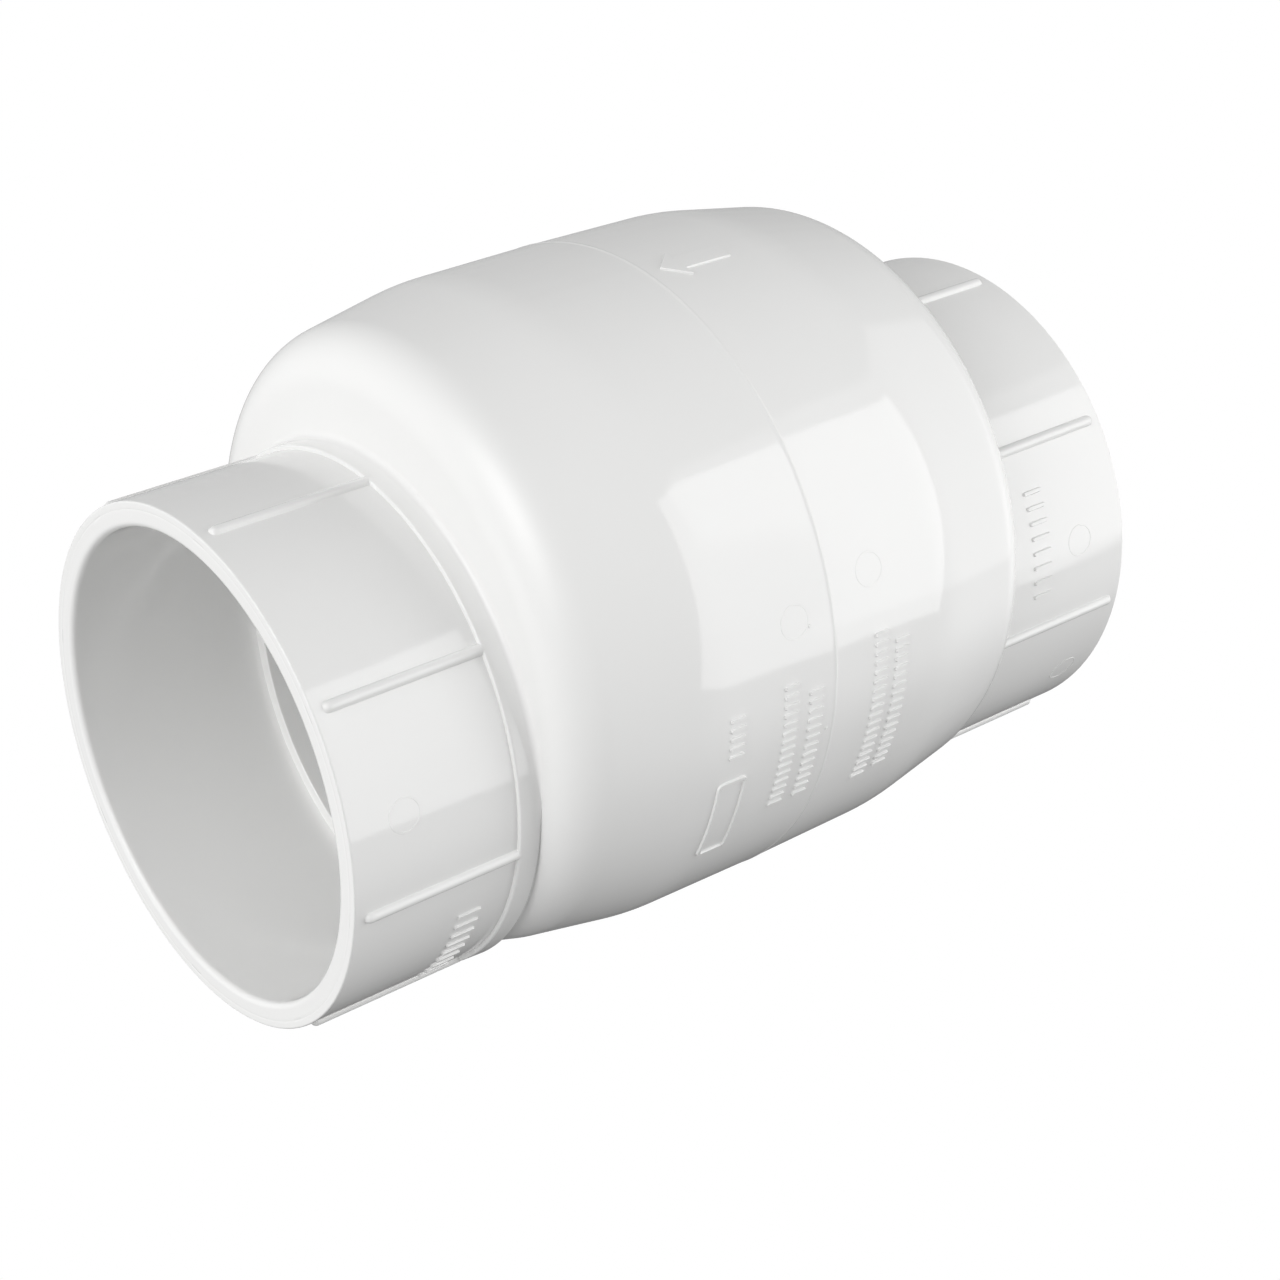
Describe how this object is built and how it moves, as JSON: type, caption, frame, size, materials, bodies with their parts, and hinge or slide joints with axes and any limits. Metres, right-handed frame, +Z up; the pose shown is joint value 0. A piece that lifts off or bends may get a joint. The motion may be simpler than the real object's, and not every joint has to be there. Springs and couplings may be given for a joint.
{
  "type": "swing non-return valve",
  "caption": "In-line plastic swing non-return valve: eccentric barrel between two solvent-weld pipe sockets, with a top-hinged flapper that closes on a leaning seat.",
  "frame": {"origin": "on the pipe axis at the inlet pipe stop, where the end of the inlet pipe seats", "axes": "+X along the pipe axis in the direction of flow, +Z up through the hinge and the raised flow arrow, +Y to the left when looking along the flow"},
  "size_m": [0.241, 0.1618, 0.1618],
  "materials": {
    "white_pvc": "injection-moulded, glossy",
    "black_epdm": "moulded, satin",
    "stainless_steel": "turned and pressed, bright",
    "natural_acetal": "turned, satin"
  },
  "bodies": {
    "valve_body": {"inlet_body": "white_pvc", "outlet_body": "white_pvc", "seat_ring": "white_pvc", "seat_o_ring": "black_epdm", "seat_screw_1": "stainless_steel", "seat_screw_2": "stainless_steel", "seat_screw_3": "stainless_steel", "seat_screw_4": "stainless_steel", "hinge_pin": "stainless_steel", "pin_clip_left": "stainless_steel", "pin_clip_right": "stainless_steel"},
    "flapper": {"flapper_disc": "white_pvc", "flapper_facing": "black_epdm", "clamp_plate": "stainless_steel", "clamp_bolt": "stainless_steel", "bolt_washer": "stainless_steel", "nut_washer": "stainless_steel", "lock_nut": "stainless_steel", "hinge_bush_left": "natural_acetal", "hinge_bush_right": "natural_acetal"}
  },
  "joints": [
    {"name": "flapper_swing", "type": "hinge", "parent": "valve_body", "child": "flapper", "pos_m": [0.02087, 0, 0.05287], "axis": [0, -1, 0], "range_deg": [0, 75]}
  ]
}
